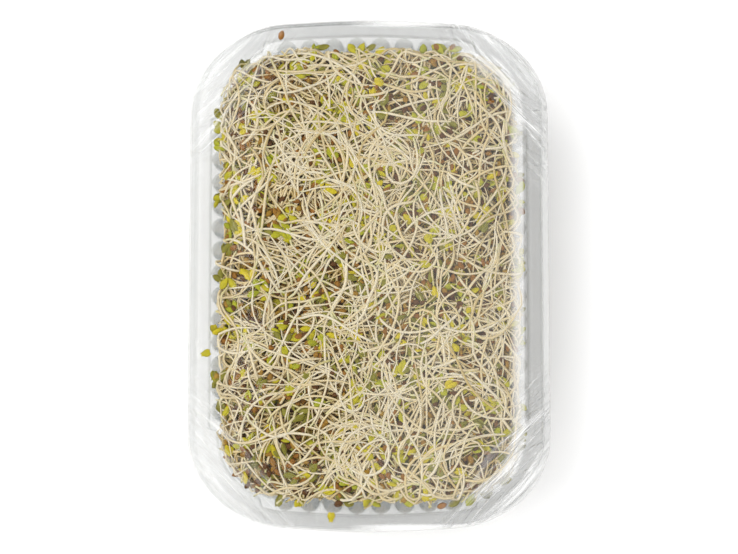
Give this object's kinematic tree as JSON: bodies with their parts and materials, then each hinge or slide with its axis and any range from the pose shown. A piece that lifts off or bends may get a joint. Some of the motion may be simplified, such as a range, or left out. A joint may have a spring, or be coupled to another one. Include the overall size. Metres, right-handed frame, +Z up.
{
  "type": "tray of alfalfa sprouts",
  "caption": "Clear fluted plastic tray filled to the rim with a tangled mat of alfalfa sprouts and wrapped in stretch film.",
  "frame": {"origin": "on the surface that the tray stands on, under the middle of the tray", "axes": "+Z up, +Y along the tray's length, +X across it"},
  "size_m": [0.1124, 0.16, 0.0406],
  "materials": {
    "clear_tray": "clear, glossy, thin thermoformed plastic",
    "stretch_film": "clear, glossy stretch film",
    "sprout": "moist, slightly translucent stems with yellow-green seed leaves and brown seed coats",
    "cotyledon": "moist yellow-green seed leaf",
    "seed_coat": "papery brown seed coat"
  },
  "bodies": {
    "root": {"tray": "clear_tray", "film": "stretch_film", "sprouts_01": "sprout", "sprouts_02": "sprout", "sprouts_03": "sprout", "sprouts_04": "sprout", "sprouts_05": "sprout", "sprouts_06": "sprout", "sprouts_07": "sprout", "sprouts_08": "sprout", "sprouts_09": "sprout", "sprouts_10": "sprout", "sprouts_11": "sprout", "sprouts_12": "sprout", "seed_coat_on_rim": "seed_coat", "cotyledons_on_rim": "cotyledon", "sprout_head_on_rim": "cotyledon", "seed_coats_on_ledge": "seed_coat", "cotyledons_on_ledge_1": "cotyledon", "cotyledons_on_ledge_2": "cotyledon"}
  },
  "joints": []
}
